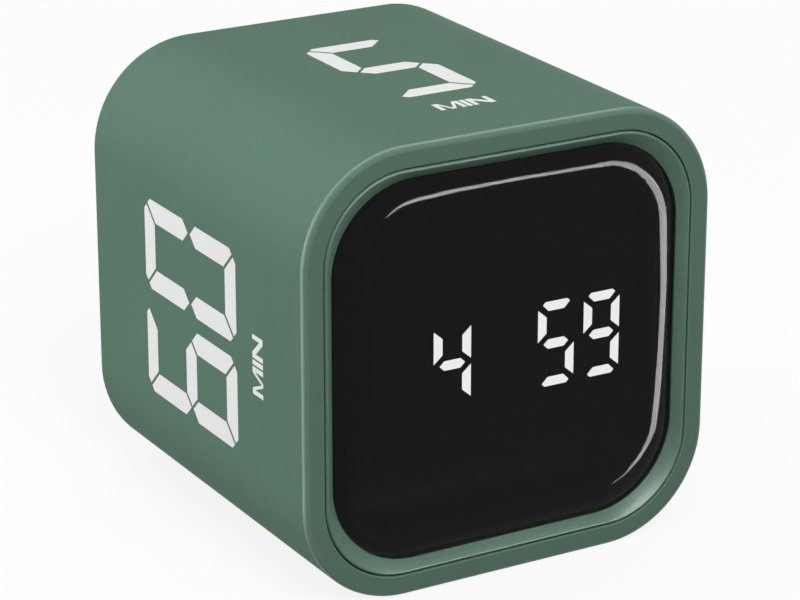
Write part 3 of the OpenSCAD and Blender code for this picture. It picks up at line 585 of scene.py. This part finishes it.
def make_lights():
    centre = Vector((0, 0, MIDDLE))
    # Soft light from above in front, and from both sides behind
    for name, direction, size, power in (("front_panel", (-0.15, -0.72, 0.68), (0.4, 0.4), 4.1),
                                         ("left_panel", (-0.85, 0.5, 0.17), (0.4, 0.4), 4.75),
                                         ("right_panel", (0.85, 0.52, 0.04), (0.4, 0.12), 2.8)):
        panel = area_light(name, centre + LAMP_AWAY * Vector(direction), facing(direction), size, power)
        panel.visible_glossy = False
    # Panels that draw the bright lines along the rubbed edges, and the glint low on the bezel
    rim = [nodes["body_shell"]]
    for name, direction, size, radiance, pieces in (
            ("left_edge_panel", (-0.95, 0.22, 0.1), (0.75, 1.4), 6.5, rim),
            ("top_edge_panel", (0, 0.32, 0.95), (1.6, 0.55), 5.5, rim),
            ("bezel_panel", (0.25, -0.94, 0.22), (0.6, 0.4), 130, [bezel])):
        power = math.pi * size[0] * size[1] * radiance
        panel = area_light(name, centre + GLINT_AWAY * Vector(direction), facing(direction), size, power)
        only_gloss(panel, pieces)


# Bright line on the lens: degrees round it from the right, insets of its outer and inner side in mm,
# and the strip's strength there, which is higher where the lens is seen less aslant and mirrors less
LENS_LINE = ((-54, 3.7, 3.7, 36), (-44, 3.6, 4.1, 36), (-32, 2.6, 3.5, 34), (-20, 2.0, 3.0, 31),
             (12, 1.5, 2.6, 28), (36, 1.9, 3.1, 34), (60, 2.1, 2.6, 46), (105, 2.0, 2.4, 54),
             (122, 2.3, 2.7, 56), (132, 2.8, 2.8, 56))
LINE_STEPS = 240
STRIP_AWAY = 1.0


def drift(station, column):
    """How fast a value of the line changes at a station."""
    before = LENS_LINE[max(station - 1, 0)]
    after = LENS_LINE[min(station + 1, len(LENS_LINE) - 1)]
    return (after[column] - before[column]) / (after[0] - before[0])


def line_at(angle):
    """Insets and strength of the line at an angle round the lens, smooth from station to station."""
    station = 0
    while station < len(LENS_LINE) - 2 and angle > LENS_LINE[station + 1][0]:
        station += 1
    near, far = LENS_LINE[station], LENS_LINE[station + 1]
    span = far[0] - near[0]
    share = (angle - near[0]) / span
    rest = 1 - share
    values = []
    for column in (1, 2, 3):
        level = (1 + 2 * share) * rest ** 2 * near[column] + (1 + 2 * rest) * share ** 2 * far[column]
        bend = rest * drift(station, column) - share * drift(station + 1, column)
        values.append(level + bend * span * share * rest)
    return values


def lens_place(angle, inset):
    """Point on the rolled edge of the lens and the way that it faces there."""
    low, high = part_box("display_lens")
    half = (high.x - low.x) / 2
    reach = half - LENS_RADIUS
    x, z = math.cos(math.radians(angle)), math.sin(math.radians(angle))
    distance = (half - inset) / max(abs(x), abs(z))
    if distance * min(abs(x), abs(z)) > reach:
        along = reach * (abs(x) + abs(z))
        distance = along + math.sqrt(along ** 2 - 2 * reach ** 2 + (LENS_RADIUS - inset) ** 2)
    point = Vector((distance * x, low.y, MIDDLE + distance * z))
    out_x = math.copysign(max(abs(distance * x) - reach, 0), x)
    out_z = math.copysign(max(abs(distance * z) - reach, 0), z)
    arc = (LENS_ROLL ** 2 + LENS_CROWN ** 2) / (2 * LENS_CROWN)
    slope = math.asin((LENS_ROLL - inset) / arc)
    faces = math.sin(slope) * Vector((out_x, 0, out_z)).normalized()
    faces.y = -math.cos(slope)
    return point, faces


def make_lens_strip():
    """Strip light, bent so that the rolled edge of the lens mirrors it as one line round a corner."""
    aside = Vector((1, -1, 0)).normalized()
    sides = []
    strengths = []
    for step in range(LINE_STEPS + 1):
        angle = LENS_LINE[0][0] + (LENS_LINE[-1][0] - LENS_LINE[0][0]) * step / LINE_STEPS
        *insets, strength = line_at(angle)
        strengths += [strength, strength]
        for inset in insets:
            point, faces = lens_place(angle, inset * MM)
            mirrored = (point - Vector(CAMERA_PLACE)).reflect(faces)
            sides.append(point + mirrored * ((STRIP_AWAY - point.dot(aside)) / mirrored.dot(aside)))
    quads = [(2 * i, 2 * i + 1, 2 * i + 3, 2 * i + 2) for i in range(LINE_STEPS)]
    mesh = bpy.data.meshes.new("lens_strip")
    mesh.from_pydata(sides, [], quads)
    mesh.attributes.new("strength", "FLOAT", "POINT").data.foreach_set("value", strengths)
    shader = Shader("strip_light")
    shader.put("Base Color", (0, 0, 0, 1))
    shader.put("Specular IOR Level", 0.0)
    shader.put("Emission Color", (1, 1, 1, 1))
    strength = shader.node("ShaderNodeAttribute", attribute_name="strength")
    shader.join(strength.outputs["Fac"], shader.surface.inputs["Emission Strength"])
    mesh.materials.append(shader.material)
    strip = bpy.data.objects.new("lens_strip", mesh)
    strip.visible_camera = False
    strip.visible_shadow = False
    strip.visible_transmission = False
    bpy.context.scene.collection.objects.link(strip)
    only_gloss(strip, [lens])


CAMERA_PLACE = (-0.2067, -0.3577, 0.1793)
CAMERA_TURN = 30.14
CAMERA_DIP = 20.14
CAMERA_LENS = 147.25


def make_camera():
    camera = bpy.data.objects.new("camera", bpy.data.cameras.new("camera"))
    camera.data.lens = CAMERA_LENS
    camera.data.clip_start = 0.01
    camera.location = CAMERA_PLACE
    camera.rotation_euler = (math.radians(90 - CAMERA_DIP), 0, math.radians(-CAMERA_TURN))
    bpy.context.scene.collection.objects.link(camera)
    bpy.context.scene.camera = camera


make_floor()
make_world()
make_lights()
make_lens_strip()
make_camera()
bpy.context.scene.view_settings.view_transform = "Standard"

bpy.context.view_layer.update()
